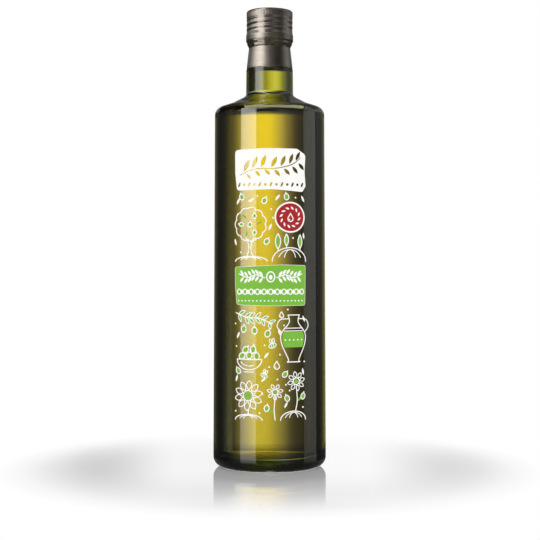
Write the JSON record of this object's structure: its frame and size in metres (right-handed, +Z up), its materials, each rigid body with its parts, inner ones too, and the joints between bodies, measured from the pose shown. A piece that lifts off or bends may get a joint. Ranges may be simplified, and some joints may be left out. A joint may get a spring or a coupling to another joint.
{
  "type": "olive oil bottle",
  "caption": "Tall round green glass bottle full of golden cooking oil, with a short neck and a rolled-on dark aluminium screw cap.",
  "frame": {"origin": "middle of the base, on the surface that the bottle stands on", "axes": "+Z up along the bottle's axis, -Y towards the viewer who sees the printed side, +X to that viewer's right"},
  "size_m": [0.0724, 0.0724, 0.2922],
  "materials": {
    "green_glass": "clear olive green glass, polished by the mould",
    "golden_oil": "clear golden yellow liquid",
    "dark_aluminium": "satin, lacquered anthracite",
    "print": "enamel fired on the glass, matte white, lime green and red"
  },
  "bodies": {
    "root": {"bottle": "green_glass", "oil": "golden_oil", "cap": "dark_aluminium"}
  },
  "joints": []
}
